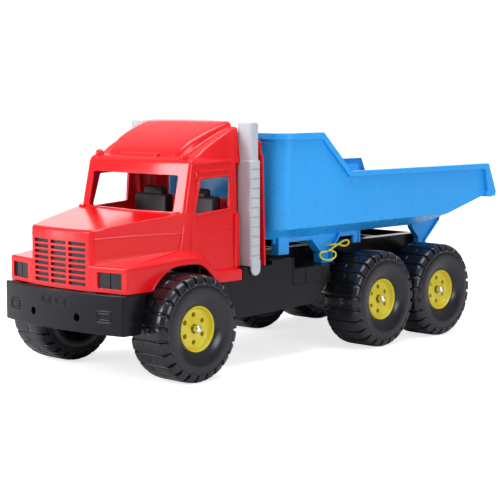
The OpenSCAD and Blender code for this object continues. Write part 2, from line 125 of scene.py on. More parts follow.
def make_lights():
    """White backdrop for the camera, softer and graded from the horizon up for everything else."""
    world = bpy.data.worlds.new("studio")
    world.use_nodes = True
    tree = world.node_tree
    sky = tree.nodes["Background"]
    sky.inputs["Strength"].default_value = 1.0
    coords = tree.nodes.new("ShaderNodeTexCoord")
    split = tree.nodes.new("ShaderNodeSeparateXYZ")
    ramp = tree.nodes.new("ShaderNodeValToRGB")
    for stop, (place, level) in zip(ramp.color_ramp.elements, ((0.0, 0.22), (0.8, 0.66))):
        stop.position = place
        stop.color = (level, level, level, 1)
    tree.links.new(coords.outputs["Generated"], split.inputs["Vector"])
    tree.links.new(split.outputs["Z"], ramp.inputs["Fac"])
    tree.links.new(ramp.outputs["Color"], sky.inputs["Color"])
    white = tree.nodes.new("ShaderNodeBackground")
    white.inputs["Color"].default_value = (1, 1, 1, 1)
    white.inputs["Strength"].default_value = 1.05
    path = tree.nodes.new("ShaderNodeLightPath")
    choose = tree.nodes.new("ShaderNodeMixShader")
    tree.links.new(path.outputs["Is Camera Ray"], choose.inputs["Fac"])
    tree.links.new(sky.outputs["Background"], choose.inputs[1])
    tree.links.new(white.outputs["Background"], choose.inputs[2])
    tree.links.new(choose.outputs["Shader"], tree.nodes["World Output"].inputs["Surface"])
    bpy.context.scene.world = world
    bpy.context.scene.view_settings.view_transform = "Standard"
    area_light("top", (0.3, -0.2, 2.3), (0, 0, 0.1), (1.5, 1.5), 50)
    area_light("front", (-0.9, -2.3, 1.1), (0, -0.3, 0.15), (1.0, 1.0), 47)
    area_light("side", (2.5, -0.3, 0.75), (0, 0.1, 0.15), (0.9, 0.9), 18)
    area_light("card", (-1.7, -1.9, 0.35), (0, -0.35, 0.1), (0.5, 0.8), 7)
    area_light("back", (-1.9, 2.3, 0.85), (0, 0, 0.15), (2.8, 1.1), 12)


# ---------------------------------------------------------------- materials


def plastic(name, colour, rough, grain=0.0, grain_scale=900.0, coat=0.0, mottle=0.04, metallic=0.0, shine=0.5,
            soften=0.0009, tint=(1, 1, 1, 1), painted_glow=0.0):
    """Moulded plastic: slight flow mottling, worn roughness, fine surface grain, softened edges.

    grain is the strength of the surface grain, mottle the share by which the colour drifts, shine the specular
    level, soften the width of the rounded look of edges in metres, and painted_glow the strength of an even glow in
    the plastic's own colour: painted light that brightens shaded walls, standing in for light let through thin walls.
    """
    mat = bpy.data.materials.new(name)
    mat.use_nodes = True
    tree = mat.node_tree
    shader = tree.nodes["Principled BSDF"]
    coords = tree.nodes.new("ShaderNodeTexCoord")
    flow = tree.nodes.new("ShaderNodeTexNoise")
    flow.inputs["Scale"].default_value = 9.0
    flow.inputs["Detail"].default_value = 4.0
    tree.links.new(coords.outputs["Object"], flow.inputs["Vector"])
    ramp = tree.nodes.new("ShaderNodeValToRGB")
    ramp.color_ramp.elements[0].position = 0.3
    ramp.color_ramp.elements[1].position = 0.72
    dark = [c * (1 - mottle) for c in colour]
    light = [min(1.0, c * (1 + mottle) + 0.002) for c in colour]
    ramp.color_ramp.elements[0].color = (*dark, 1)
    ramp.color_ramp.elements[1].color = (*light, 1)
    tree.links.new(flow.outputs["Fac"], ramp.inputs["Fac"])
    tree.links.new(ramp.outputs["Color"], shader.inputs["Base Color"])
    wear = tree.nodes.new("ShaderNodeTexNoise")
    wear.inputs["Scale"].default_value = 45.0
    wear.inputs["Detail"].default_value = 6.0
    wear.inputs["Roughness"].default_value = 0.65
    tree.links.new(coords.outputs["Object"], wear.inputs["Vector"])
    spread = tree.nodes.new("ShaderNodeMapRange")
    spread.inputs["From Min"].default_value = 0.3
    spread.inputs["From Max"].default_value = 0.7
    spread.inputs["To Min"].default_value = rough * 0.94
    spread.inputs["To Max"].default_value = min(1.0, rough * 1.07)
    tree.links.new(wear.outputs["Fac"], spread.inputs["Value"])
    tree.links.new(spread.outputs["Result"], shader.inputs["Roughness"])
    shader.inputs["Coat Weight"].default_value = coat
    shader.inputs["Coat Roughness"].default_value = 0.12
    shader.inputs["Metallic"].default_value = metallic
    shader.inputs["Specular IOR Level"].default_value = shine
    shader.inputs["Specular Tint"].default_value = tint
    # Painted light: an even glow in the plastic's own colour that brightens its shaded insides, standing in for light
    # let through thin walls; it is off unless a strength is given.
    shader.inputs["Emission Color"].default_value = (*colour, 1)
    shader.inputs["Emission Strength"].default_value = painted_glow
    edge = tree.nodes.new("ShaderNodeBevel")
    edge.samples = 6
    edge.inputs["Radius"].default_value = soften
    tree.links.new(edge.outputs["Normal"], shader.inputs["Normal"])
    if grain:
        fine = tree.nodes.new("ShaderNodeTexNoise")
        fine.inputs["Scale"].default_value = grain_scale
        fine.inputs["Detail"].default_value = 3.0
        tree.links.new(coords.outputs["Object"], fine.inputs["Vector"])
        bump = tree.nodes.new("ShaderNodeBump")
        bump.inputs["Strength"].default_value = grain
        bump.inputs["Distance"].default_value = 0.0003
        tree.links.new(fine.outputs["Fac"], bump.inputs["Height"])
        tree.links.new(edge.outputs["Normal"], bump.inputs["Normal"])
        tree.links.new(bump.outputs["Normal"], shader.inputs["Normal"])
    return mat


COOL = (0.86, 0.86, 1.0, 1)  # faint blue in the reflections of the black mouldings
MATERIALS = {
    # The red glows faintly in its own colour: painted light that brightens the shaded inside of the cab.
    "red_plastic": plastic("red_plastic", (0.64, 0.006, 0.010), 0.2, 0.012, 260,
                           coat=0.16, shine=0.3, painted_glow=0.05),
    "blue_plastic": plastic("blue_plastic", (0.022, 0.345, 0.86), 0.28, 0.012, 300, coat=0.05, shine=0.34,
                            mottle=0.02),
    "black_plastic": plastic("black_plastic", (0.0042, 0.0042, 0.0056), 0.22, 0.03, 1100,
                             shine=0.24, tint=COOL),
    "seat_plastic": plastic("seat_plastic", (0.030, 0.025, 0.029), 0.4, 0.1, 900, shine=0.3),
    "dark_grey_plastic": plastic("dark_grey_plastic", (0.022, 0.022, 0.026), 0.28, 0.06, 700,
                                 shine=0.3, tint=COOL),
    "grey_plastic": plastic("grey_plastic", (0.45, 0.475, 0.53), 0.36, 0.06, 800),
    "tyre_plastic": plastic("tyre_plastic", (0.0062, 0.006, 0.0078), 0.25, 0.06, 1300, shine=0.5, tint=COOL),
    "yellow_plastic": plastic("yellow_plastic", (0.64, 0.53, 0.022), 0.25, 0.04, 500, coat=0.1, soften=0.0005),
    "yellow_wire": plastic("yellow_wire", (0.75, 0.68, 0.05), 0.4, 0.1, 900, soften=0.0002),
    "steel": plastic("steel", (0.55, 0.56, 0.58), 0.3, 0.1, 1500, metallic=1.0, soften=0.0003),
    "cap_metal": plastic("cap_metal", (0.8, 0.81, 0.83), 0.12, 0.05, 1500, metallic=1.0, soften=0.0002),
}
SLOT_OF = {part["node"]: part["material_slot"] for part in frame["record"]["subparts"]}


def dress(piece, slot):
    """Gives a piece its one material."""
    piece.data.materials.clear()
    piece.data.materials.append(MATERIALS[slot])


def add_piece(name, mesh, node):
    """Links a mesh as the shown piece of one CAD node."""
    piece = bpy.data.objects.new(name, mesh)
    bpy.context.scene.collection.objects.link(piece)
    slot = SLOT_OF[node]
    dress(piece, slot)
    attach(piece, nodes[node]["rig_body"])
    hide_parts(node)
    return piece


# ---------------------------------------------------------------- rounded copies of CAD solids


def clean_copy(node):
    """The CAD node's mesh with its triangles merged into flat faces."""
    bm = bmesh.new()
    bm.from_mesh(nodes[node].data)
    bmesh.ops.remove_doubles(bm, verts=bm.verts, dist=2e-6)
    bmesh.ops.dissolve_limit(bm, angle_limit=math.radians(0.6), verts=bm.verts, edges=bm.edges, delimit=set())
    return bm


def rounded(node, name, radius, segments):
    """Rounds every sharp edge, less where the neighbouring faces are narrow."""
    bm = clean_copy(node)
    weight = bm.edges.layers.float.new("bevel_weight_edge")
    for edge in sharp_edges(bm, 24):
        edge[weight] = min(1.0, max(0.0, 0.33 * room_beside(edge) / radius))
    mesh = bpy.data.meshes.new(name)
    bm.to_mesh(mesh)
    bm.free()
    for polygon in mesh.polygons:
        polygon.use_smooth = True
    piece = add_piece(name, mesh, node)
    bevel = piece.modifiers.new("round_edges", "BEVEL")
    bevel.limit_method = "WEIGHT"
    bevel.width = radius
    bevel.segments = segments
    bevel.use_clamp_overlap = False
    bevel.harden_normals = True
    bevel.miter_outer = "MITER_ARC"
    return piece


def room_beside(edge):
    """The narrowest face width next to an edge, and its own length."""
    room = edge.calc_length() * 3
    middle = (edge.verts[0].co + edge.verts[1].co) / 2
    along = (edge.verts[1].co - edge.verts[0].co).normalized()
    for face in edge.link_faces:
        across = face.normal.cross(along)
        reach = max(abs((v.co - middle).dot(across)) for v in face.verts)
        room = min(room, reach)
    for vert in edge.verts:
        for other in vert.link_edges:
            if other is not edge:
                room = min(room, other.calc_length() * 1.2)
    return room


# ---------------------------------------------------------------- wheels


TREAD_R = 72.5
FLAT_TREAD_R = 71.9  # outside this radius the grooves are cut straight towards the axle
TYRE_HALF = [
    # distance from the mid plane, radius, groove depth, groove half width, groove shift in degrees
    (24.0, 30.2, 0.0, 0.5, 0.0),
    (25.4, 31.2, 0.0, 0.5, 0.0),
    (26.6, 32.6, 0.0, 0.5, 0.0),
    (28.6, 35.6, 0.0, 0.5, 0.0),
    (30.6, 39.6, 0.0, 0.5, 0.0),
    (32.1, 44.0, 0.0, 0.5, 0.0),
    (33.1, 48.5, 0.0, 0.5, 0.0),
    (33.5, 52.5, 0.0, 0.5, 0.0),
    (33.4, 56.0, 0.0, 0.6, 2.6),
    (33.0, 58.8, 0.0, 0.8, 2.6),
    (32.7, 59.6, 0.0, 0.9, 2.5),
    (33.1, 60.3, 1.2, 1.5, 2.3),
    (33.1, 61.4, 2.6, 1.8, 1.9),
    (32.8, 63.4, 3.6, 2.0, 1.3),
    (32.0, 66.0, 4.2, 2.1, 0.7),
    (30.7, 68.4, 4.3, 2.1, 0.3),
    (28.8, 70.4, 4.0, 2.0, 0.1),
    (26.2, 71.7, 3.2, 1.7, 0.0),
    (22.8, 72.3, 2.4, 1.3, 0.0),
    (18.0, 72.5, 1.8, 0.9, 0.0),
    (12.0, 72.5, 1.4, 0.7, 0.0),
    (4.6, 72.5, 1.1, 0.6, 0.0),
    (3.8, 72.5, 1.1, 0.6, 0.0),
    (3.0, 72.5, 1.1, 0.6, 0.0),
    (2.2, 72.5, 1.1, 0.6, 0.0),
]
LUGS = 24
# Across one lug: fraction of the groove's half width, extra millimetres, share of the groove's depth
GROOVE_COLUMNS = [(0.0, 0.0, 1.0), (0.75, 0.0, 1.0), (1.0, 0.1, 0.45), (1.0, 0.45, 0.12), (1.0, 1.1, 0.0)]


def tyre_profile():
    """Whole cross section, from one bead over the tread to the other."""
    inner = [(-u, r, d, w, s) for (u, r, d, w, s) in reversed(TYRE_HALF)]
    return TYRE_HALF + [(0.0, TREAD_R, 1.1, 0.6, 0.0)] + inner


def lug_columns():
    """Columns of one lug as (side, fraction, extra, depth share, fraction along the block)."""
    rise = [(1, f, e, share, None) for f, e, share in GROOVE_COLUMNS]
    block = [(0, 0, 0, 0, t) for t in (0.18, 0.34, 0.5, 0.66, 0.82)]
    fall = [(-1, f, e, share, None) for f, e, share in reversed(GROOVE_COLUMNS[1:])]
    return rise + block + fall


def make_tyre_mesh():
    """One tyre about the X axis, with chunky shoulder lugs and fine cross grooves."""
    profile = tyre_profile()
    columns = lug_columns()
    pitch = 2 * math.pi / LUGS
    points = []
    for i, (u, r, depth, width, shift) in enumerate(profile):
        before, after = profile[max(0, i - 1)], profile[min(len(profile) - 1, i + 1)]
        du, dr = after[0] - before[0], after[1] - before[1]
        size = math.hypot(du, dr)
        normal = (-dr / size, du / size)
        if r > FLAT_TREAD_R:
            normal = (0.0, -1.0)
        row = []
        for lug in range(LUGS):
            start = (lug + 0.5) * pitch + math.radians(shift if u > 0 else -shift)
            end = start + pitch
            for side, fraction, extra, share, along in columns:
                if along is not None:
                    edge = (width + 1.1) / TREAD_R
                    angle = start + edge + (pitch - 2 * edge) * along
                    sink = centre_line(u, lug, along)
                else:
                    offset = (fraction * width + extra) / TREAD_R
                    angle = start + offset if side > 0 else end - offset
                    sink = depth * share
                uu = u + normal[0] * sink
                rr = r + normal[1] * sink
                row.append((uu * MM, rr * MM * math.cos(angle), rr * MM * math.sin(angle)))
        points.append(row)
    return grid_mesh("tyre", points)


def centre_line(u, lug, along):
    """Depth of the short groove that runs round the middle of the tread."""
    place = 3.4 if lug % 2 else -3.4
    return 0.9 if abs(u - place) < 0.5 and along < 0.6 else 0.0


def grid_mesh(name, rows):
    """Quads between rows of points; each row is a closed loop, and the last row joins the first."""
    count = len(rows[0])
    verts = [point for row in rows for point in row]
    faces = []
    for i in range(len(rows)):
        j = (i + 1) % len(rows)
        for k in range(count):
            m = (k + 1) % count
            faces.append((i * count + k, i * count + m, j * count + m, j * count + k))
    mesh = bpy.data.meshes.new(name)
    mesh.from_pydata(verts, [], faces)
    finish_mesh(mesh)
    return mesh


def finish_mesh(mesh, angle=38.0):
    """Faces outwards, smooth, with edges sharper than the angle kept crisp."""
    bm = bmesh.new()
    bm.from_mesh(mesh)
    bmesh.ops.recalc_face_normals(bm, faces=bm.faces)
    for edge in bm.edges:
        edge.smooth = not (len(edge.link_faces) == 2 and edge.calc_face_angle(0) > math.radians(angle))
    for face in bm.faces:
        face.smooth = True
    bm.to_mesh(mesh)
    bm.free()


def spin(name, profile, steps=96):
    """Solid of revolution about X from (x, r) points in millimetres; r = 0 closes an end."""
    bm = bmesh.new()
    verts = [bm.verts.new((x * MM, 0, r * MM)) for x, r in profile]
    for a, b in zip(verts, verts[1:]):
        bm.edges.new((a, b))
    if profile[0][1] > 0:
        bm.edges.new((verts[-1], verts[0]))
    bmesh.ops.spin(bm, geom=bm.verts[:] + bm.edges[:], axis=(1, 0, 0), cent=(0, 0, 0), steps=steps,
                   angle=2 * math.pi, use_merge=True)
    bmesh.ops.remove_doubles(bm, verts=bm.verts, dist=1e-6)
    mesh = bpy.data.meshes.new(name)
    bm.to_mesh(mesh)
    bm.free()
    finish_mesh(mesh)
    return mesh


RIM_PROFILE = [
    # x measured from the rim's face, positive outwards
    (-46.0, 30.6), (-3.0, 31.0), (-0.7, 31.0), (-0.2, 30.8), (0.0, 30.4), (0.0, 29.6), (-0.3, 29.2), (-1.0, 28.8),
    (-5.0, 27.6), (-6.9, 26.6), (-8.0, 25.2), (-8.5, 23.2), (-8.4, 19.0), (-7.6, 12.0), (-6.9, 8.6), (-6.8, 6.6),
    (-7.1, 6.0), (-8.0, 5.7), (-13.0, 5.5), (-13.0, 2.6), (-16.0, 2.6), (-16.0, 9.0), (-46.0, 9.0),
]


HOLE_R = 3.4
HOLE_CIRCLE_R = 18.5


def make_rim_mesh():
    """Dished rim with a hub and a ring of six holes."""
    rim = bpy.data.objects.new("rim_cutting", spin("rim_blank", RIM_PROFILE))
    bpy.context.scene.collection.objects.link(rim)
    cutters = []
    for i in range(6):
        angle = math.pi * i / 3
        across, up = HOLE_CIRCLE_R * MM * math.sin(angle), HOLE_CIRCLE_R * MM * math.cos(angle)
        cutter_mesh = spin("hole", [(-20, 0), (-20, HOLE_R), (5, HOLE_R), (5, 0)], 32)
        cutter_mesh.transform(Matrix.Translation((0, across, up)))
        cutters.append(cutter_mesh)
    bm = bmesh.new()
    for mesh in cutters:
        bm.from_mesh(mesh)
    joined = bpy.data.meshes.new("holes")
    bm.to_mesh(joined)
    bm.free()
    holes = bpy.data.objects.new("holes", joined)
    bpy.context.scene.collection.objects.link(holes)
    cut = rim.modifiers.new("holes", "BOOLEAN")
    cut.operation = "DIFFERENCE"
    cut.object = holes
    cut.solver = "EXACT"
    bpy.context.view_layer.update()
    result = bpy.data.meshes.new_from_object(rim.evaluated_get(bpy.context.evaluated_depsgraph_get()))
    result.name = "rim"
    bpy.data.objects.remove(rim)
    bpy.data.objects.remove(holes)
    finish_mesh(result, 30)
    return result


CAP_PROFILE = [
    (-4.4, 0), (-4.4, 4.4), (0.6, 4.4), (0.8, 5.3), (1.2, 5.4), (2.2, 5.2), (3.4, 4.5), (4.3, 3.4), (4.9, 2.1),
    (5.2, 0.9), (5.3, 0),
]


def place_wheels():
    """The same tyre, rim and cap at both ends of each axle."""
    tyre = make_tyre_mesh()
    rim = make_rim_mesh()
    cap = spin("cap", CAP_PROFILE, 48)
    for row, y in ROWS.items():
        for side, sign in SIDES.items():
            turn = Matrix.Identity(4) if sign > 0 else Matrix.Rotation(math.pi, 4, "Z")
            for kind, mesh, x in (("tyre", tyre, TYRE_X), ("rim", rim, RIM_FACE_X), ("cap", cap, RIM_FACE_X)):
                copy = mesh.copy()
                copy.transform(Matrix.Translation((sign * x, y, AXLE_Z)) @ turn)
                add_piece(f"{kind}_look_{row}_{side}", copy, f"{kind}_{row}_{side}")


# ---------------------------------------------------------------- solid modelling helpers
#
# Shapes below are written in millimetres, with y measured backwards from the front axle.

Y_SHIFT = -290.0


def new_solid(verts, faces):
    """Closed solid from points and faces, with its faces turned outwards."""
    bm = bmesh.new()
    points = [bm.verts.new(v) for v in verts]
    for face in faces:
        bm.faces.new([points[i] for i in face])
    bmesh.ops.recalc_face_normals(bm, faces=bm.faces)
    if bm.calc_volume(signed=True) < 0:
        bmesh.ops.reverse_faces(bm, faces=bm.faces)
    return bm


def prism(axis, outline, low, high):
    """Closed solid between two copies of an outline. axis x takes (y, z), y takes (x, z), z takes (x, y)."""
    place = {
        "x": lambda p, t: (t, p[0], p[1]),
        "y": lambda p, t: (p[0], t, p[1]),
        "z": lambda p, t: (p[0], p[1], t),
    }[axis]
    n = len(outline)
    verts = [place(p, low) for p in outline] + [place(p, high) for p in outline]
    faces = [tuple(range(n)), tuple(range(n, 2 * n))]
    faces += [(i, (i + 1) % n, n + (i + 1) % n, n + i) for i in range(n)]
    return new_solid(verts, faces)


def loft(sections):
    """Closed solid through loops of points that all have the same count."""
    n = len(sections[0])
    verts = [p for section in sections for p in section]
    last = (len(sections) - 1) * n
    faces = [tuple(range(n)), tuple(range(last, last + n))]
    for s in range(len(sections) - 1):
        for i in range(n):
            j = (i + 1) % n
            faces.append((s * n + i, s * n + j, (s + 1) * n + j, (s + 1) * n + i))
    return new_solid(verts, faces)


def box(low, high):
    """Block between two opposite corners."""
    (x0, y0, z0), (x1, y1, z1) = low, high
    return prism("z", [(x0, y0), (x1, y0), (x1, y1), (x0, y1)], z0, z1)


def round_where(bm, radius, segments, wanted):
    """Rounds the edges for which wanted(a, b) is true of their end points."""
    edges = [e for e in bm.edges if len(e.link_faces) == 2 and wanted(e.verts[0].co, e.verts[1].co)]
    bmesh.ops.bevel(bm, geom=edges, offset=radius, segments=segments, profile=0.5, affect="EDGES",
                    clamp_overlap=True)
    return bm


def sharp_edges(bm, degrees):
    limit = math.radians(degrees)
    return {e for e in bm.edges if len(e.link_faces) == 2 and e.calc_face_angle(0) > limit}


def round_all(bm, radius, segments=2, degrees=30):
    bmesh.ops.bevel(bm, geom=list(sharp_edges(bm, degrees)), offset=radius, segments=segments, profile=0.5,
                    affect="EDGES", clamp_overlap=True)
    return bm


def mirror_x(bm):
    """Copy of a solid for the other side of the truck."""
    other = bm.copy()
    bmesh.ops.scale(other, vec=(-1, 1, 1), verts=other.verts)
    bmesh.ops.reverse_faces(other, faces=other.faces)
    return other


def merge(*parts):
    """Puts several solids in one mesh without cutting them."""
    mesh = bpy.data.meshes.new("merged")
    whole = bmesh.new()
    for part in parts:
        part.to_mesh(mesh)
        whole.from_mesh(mesh)
    bpy.data.meshes.remove(mesh)
    return whole


def as_object(bm):
    mesh = bpy.data.meshes.new("solid")
    bm.to_mesh(mesh)
    solid = bpy.data.objects.new("solid", mesh)
    bpy.context.scene.collection.objects.link(solid)
    return solid


def combine(first, operation, *others):
    """Exact boolean of solids, one after another; returns a new bmesh."""
    base = as_object(first)
    helpers = []
    for other in others:
        helper = as_object(other)
        helpers.append(helper)
        step = base.modifiers.new("step", "BOOLEAN")
        step.operation = operation
        step.object = helper
        step.solver = "EXACT"
        step.use_self = False
    bpy.context.view_layer.update()
    result = bpy.data.meshes.new_from_object(base.evaluated_get(bpy.context.evaluated_depsgraph_get()))
    for thing in [base, *helpers]:
        bpy.data.objects.remove(thing)
    bm = bmesh.new()
    bm.from_mesh(result)
    bpy.data.meshes.remove(result)
    return bm


def arc(cx, cy, radius, start, end, count):
    """Points of an arc in degrees, both ends included."""
    steps = [math.radians(start + (end - start) * i / count) for i in range(count + 1)]
    return [(cx + radius * math.cos(t), cy + radius * math.sin(t)) for t in steps]


def rounded_outline(points, radius, count=4):
    """The outline with each corner replaced by a short curve."""
    result = []
    n = len(points)
    for i, point in enumerate(points):
        here = Vector(point)
        before, after = Vector(points[i - 1]), Vector(points[(i + 1) % n])
        r = radius[i] if isinstance(radius, (list, tuple)) else radius
        if r == 0:
            result.append(tuple(here))
            continue
        a = here + (before - here).normalized() * r
        b = here + (after - here).normalized() * r
        for k in range(count + 1):
            t = k / count
            result.append(tuple(a * (1 - t) ** 2 + here * 2 * t * (1 - t) + b * t ** 2))
    return result


def tube(path, radius, sides=10):
    """Round bead along a path of points, closed at both ends."""
    points = [Vector(p) for p in path]
    sections = []
    for i, point in enumerate(points):
        along = (points[min(i + 1, len(points) - 1)] - points[max(i - 1, 0)]).normalized()
        side = along.cross(Vector((0.31, 0.17, 0.93))).normalized()
        up = side.cross(along)
        ring = [point + radius * (math.cos(t) * side + math.sin(t) * up)
                for t in (2 * math.pi * k / sides for k in range(sides))]
        sections.append(ring)
    return loft(sections)


def ball(place, radius):
    bm = bmesh.new()
    bmesh.ops.create_uvsphere(bm, u_segments=24, v_segments=14, radius=radius,
                              matrix=Matrix.Translation(place))
    return bm


def finished(bm, name, node, angle=34.0):
    """Turns a solid in millimetres into the shown piece of a CAD node."""
    bmesh.ops.transform(bm, matrix=Matrix.Diagonal((MM, MM, MM, 1)) @ Matrix.Translation((0, Y_SHIFT, 0)),
                        verts=bm.verts)
    bmesh.ops.remove_doubles(bm, verts=bm.verts, dist=2e-6)
    mesh = bpy.data.meshes.new(name)
    bm.to_mesh(mesh)
    bm.free()
    finish_mesh(mesh, angle)
    piece = add_piece(name, mesh, node)
    even = piece.modifiers.new("even_normals", "WEIGHTED_NORMAL")
    even.keep_sharp = True
    even.weight = 60
    return piece


# ---------------------------------------------------------------- cab

NOSE_Y = -113.0
SCREEN_SLOPE = math.tan(math.radians(12.0))
WALL = 3.0


def bow(x):
    """How far the bowed front lies behind its middle at x."""
    return x * x / 1000.0


def hood_solid(inset):
    """Bonnet and nose: bowed front, sides spreading to the cabin, rounded edges."""
    half = 63.0 - inset
    front = [(half * (i / 8 - 1), NOSE_Y + inset + bow(half * (i / 8 - 1))) for i in range(17)]
    outline = front + [(107.0 - inset, 20.0), (107.0 - inset, 40.0),
                       (inset - 107.0, 40.0), (inset - 107.0, 20.0)]
    bm = prism("z", outline, 125.0 if inset == 0 else 100.0, 240.0)
    for point, slope in (((0, NOSE_Y, 204.5 - inset), 18.0 / 128.0), ((0, 15, 222.3 - inset), 0.0)):
        normal = Vector((0, -slope, 1)).normalized()
        cut = bmesh.ops.bisect_plane(bm, geom=bm.verts[:] + bm.edges[:] + bm.faces[:], plane_co=point,
                                     plane_no=normal, clear_outer=True)
        rim = [g for g in cut["geom_cut"] if isinstance(g, bmesh.types.BMEdge)]
        bmesh.ops.contextual_create(bm, geom=rim)
    bmesh.ops.recalc_face_normals(bm, faces=bm.faces)
    if inset == 0:
        top = lambda p: p.z > 203.5
        round_where(bm, 7.0, 5, lambda a, b: a.z < 130 and b.z > 200 and abs(a.x) > 60 and a.y < -90
                    or b.z < 130 and a.z > 200 and abs(a.x) > 60 and a.y < -90)
        round_where(bm, 4.5, 4, lambda a, b: top(a) and top(b) and max(a.y, b.y) < -88)
    return bm


def hood_edges(bm):
    """Rounds the two long side edges of the bonnet's top."""
    return round_where(bm, 5.0, 4, lambda a, b: min(a.z, b.z) > 203 and (a.x > 50) == (b.x > 50)
                       and min(abs(a.x), abs(b.x)) > 50 and abs(a.y - b.y) > 60)


FENDER_Y = [-104, -97, -90, -70, -53, -52.5, -47, -42, -37, -30, -23, -14, -4, 8, 20, 31, 38, 44, 49, 54, 58.5,
            62, 65, 66.5, 66.6, 70, 74, 78, 95, 115.5]
UPPER = ([-113, -95, -50, -5, 20, 33, 40, 46, 52, 58, 63, 68, 73, 78, 116],
         [118.5, 118, 113, 107.2, 107.2, 107.2, 107.2, 107.2, 107.2, 107.2, 107.2, 107.2, 107.2, 107.6, 107.6],
         [159.0, 160.5, 166, 171.5, 172.6, 172, 170.4, 168, 164, 158.8, 153.4, 147.5, 143.2, 141.4, 141.4])
LIP = ([-113, -95, -50, -5, 20, 33, 40, 46, 52, 58, 63, 68, 73, 78, 116],
       [120.5, 120.5, 120, 119, 119, 119, 119.2, 119.4, 119.6, 119.8, 120, 120.3, 120.8, 121, 121],
       [157.2, 157.8, 159.5, 162, 162.6, 162, 160, 157, 152.8, 147.6, 142.8, 139.8, 139.6, 139.6, 139.6])
ARCH = ([-53, -52.5, -47, -37, -23, -14, -4, 20, 31, 38, 44, 49, 54, 58.5, 62, 65, 66.5],
        [125, 125.4, 132.5, 141.5, 150, 152.8, 154, 154.4, 154, 152, 148.6, 144.6,
         140, 135.6, 131.6, 127.6, 125.2])


def fender_section(y, inset, shrink=0.0, inner=58.0):
    """Loop of one fender at y; the front stations follow the nose's bow and fade out backwards."""
    ux = float(np.interp(y, UPPER[0], UPPER[1])) - inset - shrink
    uz = float(np.interp(y, UPPER[0], UPPER[2])) - inset - shrink
    lx = float(np.interp(y, LIP[0], LIP[1])) - inset - shrink
    lz = float(np.interp(y, LIP[0], LIP[2])) - inset - shrink
    low = float(np.interp(y, ARCH[0], ARCH[1])) if -53 <= y <= 66.5 else 125.0
    if inset:
        low, inner = 90.0, 50.0
    soft = 0.0 if inset else min(2.6, 0.46 * math.hypot(lx - ux, uz - lz))
    corner = [0, soft, soft, 0, 0]
    loop = rounded_outline([(inner, uz), (ux, uz), (lx, lz), (lx, low), (inner, low)], corner, 4)
    follow = min(1.0, max(0.0, (-60.0 - y) / 53.0))
    return [(x, y + inset * (y < -100) + bow(x) * follow, z) for x, z in loop]


def fender_solid(inset):
    last = 115.5 - inset
    stations = [(y, 0.0) for y in FENDER_Y if -108 < y < last - 4] + [(last, 0.0)]
    if inset == 0:
        nose = [(-113.0, 2.0), (-112.6, 0.9), (-111.8, 0.3), (-110.5, 0.0)]
        stations = nose + stations[:-1] + [(last - 1.2, 0.0), (last - 0.3, 0.4), (last, 1.2)]
    else:
        stations = [(-113.0, 0.0)] + stations
    return loft([fender_section(y, inset, shrink) for y, shrink in stations])


def cabin_half(z, inset):
    """Half width of the cabin at a height."""
    return float(np.interp(z, [90, 125, 165, 220, 287, 296],
                           [109.2, 108.5, 107.5, 106.2, 104.6, 104.4])) - inset


def cabin_section(z, inset, shrink=0.0, back=125.0):
    half = cabin_half(z, inset) - shrink
    front = 7.6 + inset * 1.02 + shrink + (z - 222.0) * SCREEN_SLOPE
    rear = back - inset - shrink
    corner = max(1.0, 5.0 - inset)
    limit = half - corner
    points = [(limit * (i / 8 - 1), front + bow(limit * (i / 8 - 1))) for i in range(17)]
    y_corner = front + bow(limit) + corner
    points += arc(limit, y_corner, corner, -70, 0, 4)
    round_rear = 9.0 - inset
    points += arc(half - round_rear, rear - round_rear, round_rear, 0, 90, 5)
    points += [(-x, y) for x, y in reversed(arc(half - round_rear, rear - round_rear, round_rear, 0, 90, 5))]
    points += [(-x, y) for x, y in reversed(arc(limit, y_corner, corner, -70, 0, 4))]
    return [(x, y, z) for x, y in points]


def cabin_solid(inset):
    if inset:
        levels = [(90, 0), (165, 0), (220, 0), (287, 0), (293, 0)]
    else:
        levels = [(125, 0), (165, 0), (220, 0), (286, 0), (289.5, 0.6), (292, 1.8), (294, 3.6), (295.3, 5.8),
                  (296, 8.5)]
    return loft([cabin_section(z, inset, shrink) for z, shrink in levels])


DOME = [(36.5, 295.0), (38.5, 300.0), (41.5, 304.3), (46.5, 308.8), (54, 314), (62, 318.6), (70, 322.7), (79, 326.9),
        (88, 330.6), (97, 334), (106, 337.2), (114, 339.9), (120, 341.8), (128.6, 343.2)]
SHOULDER = [(36.5, 293.6), (38.5, 294.2), (41.5, 295.4), (46.5, 297.8), (54, 301.8), (62, 306.2), (70, 310.6),
            (79, 315.4), (88, 319.9), (97, 324.2), (106, 328.4), (114, 331.8), (120, 334.2), (128.6, 336.4)]
DOME_HALF = ([36.5, 40, 46.5, 54, 66, 84, 104, 128.6], [66, 70, 73.5, 76, 78.5, 81, 83.4, 85.2])


def fairing_section(y, top, side):
    """Half outline from the centre outwards: crowned top, rounded shoulder, ledge, sloping cheek."""
    rise = max(0.3, top - side)
    half = float(np.interp(y, *DOME_HALF))
    low = 284.0
    return [(0, top + 1.2), (30, top + 1.1), (52, top + 0.9), (half - 12, top + 0.5), (half - 6, top),
            (half - 3, top - 0.10 * rise), (half - 1.2, top - 0.26 * rise), (half, top - 0.5 * rise),
            (half + 0.6, side + 1.2), (half + 1.6, side + 0.2), (half + 3, side),
            (94, side - 0.5), (96.2, side - 0.9), (97.8, side - 2.2), (98.8, side - 4.6), (103.6, 287.0), (100, low)]


def fairing_solid():
    sections = []
    for (y, top), (_, side) in zip(DOME, SHOULDER):
        right = fairing_section(y, top, side)
        whole = right + [(-x, z) for x, z in reversed(right[1:])]
        sections.append([(x, y + 0.25 * bow(x) * (y < 60), z) for x, z in whole])
    return loft(sections)


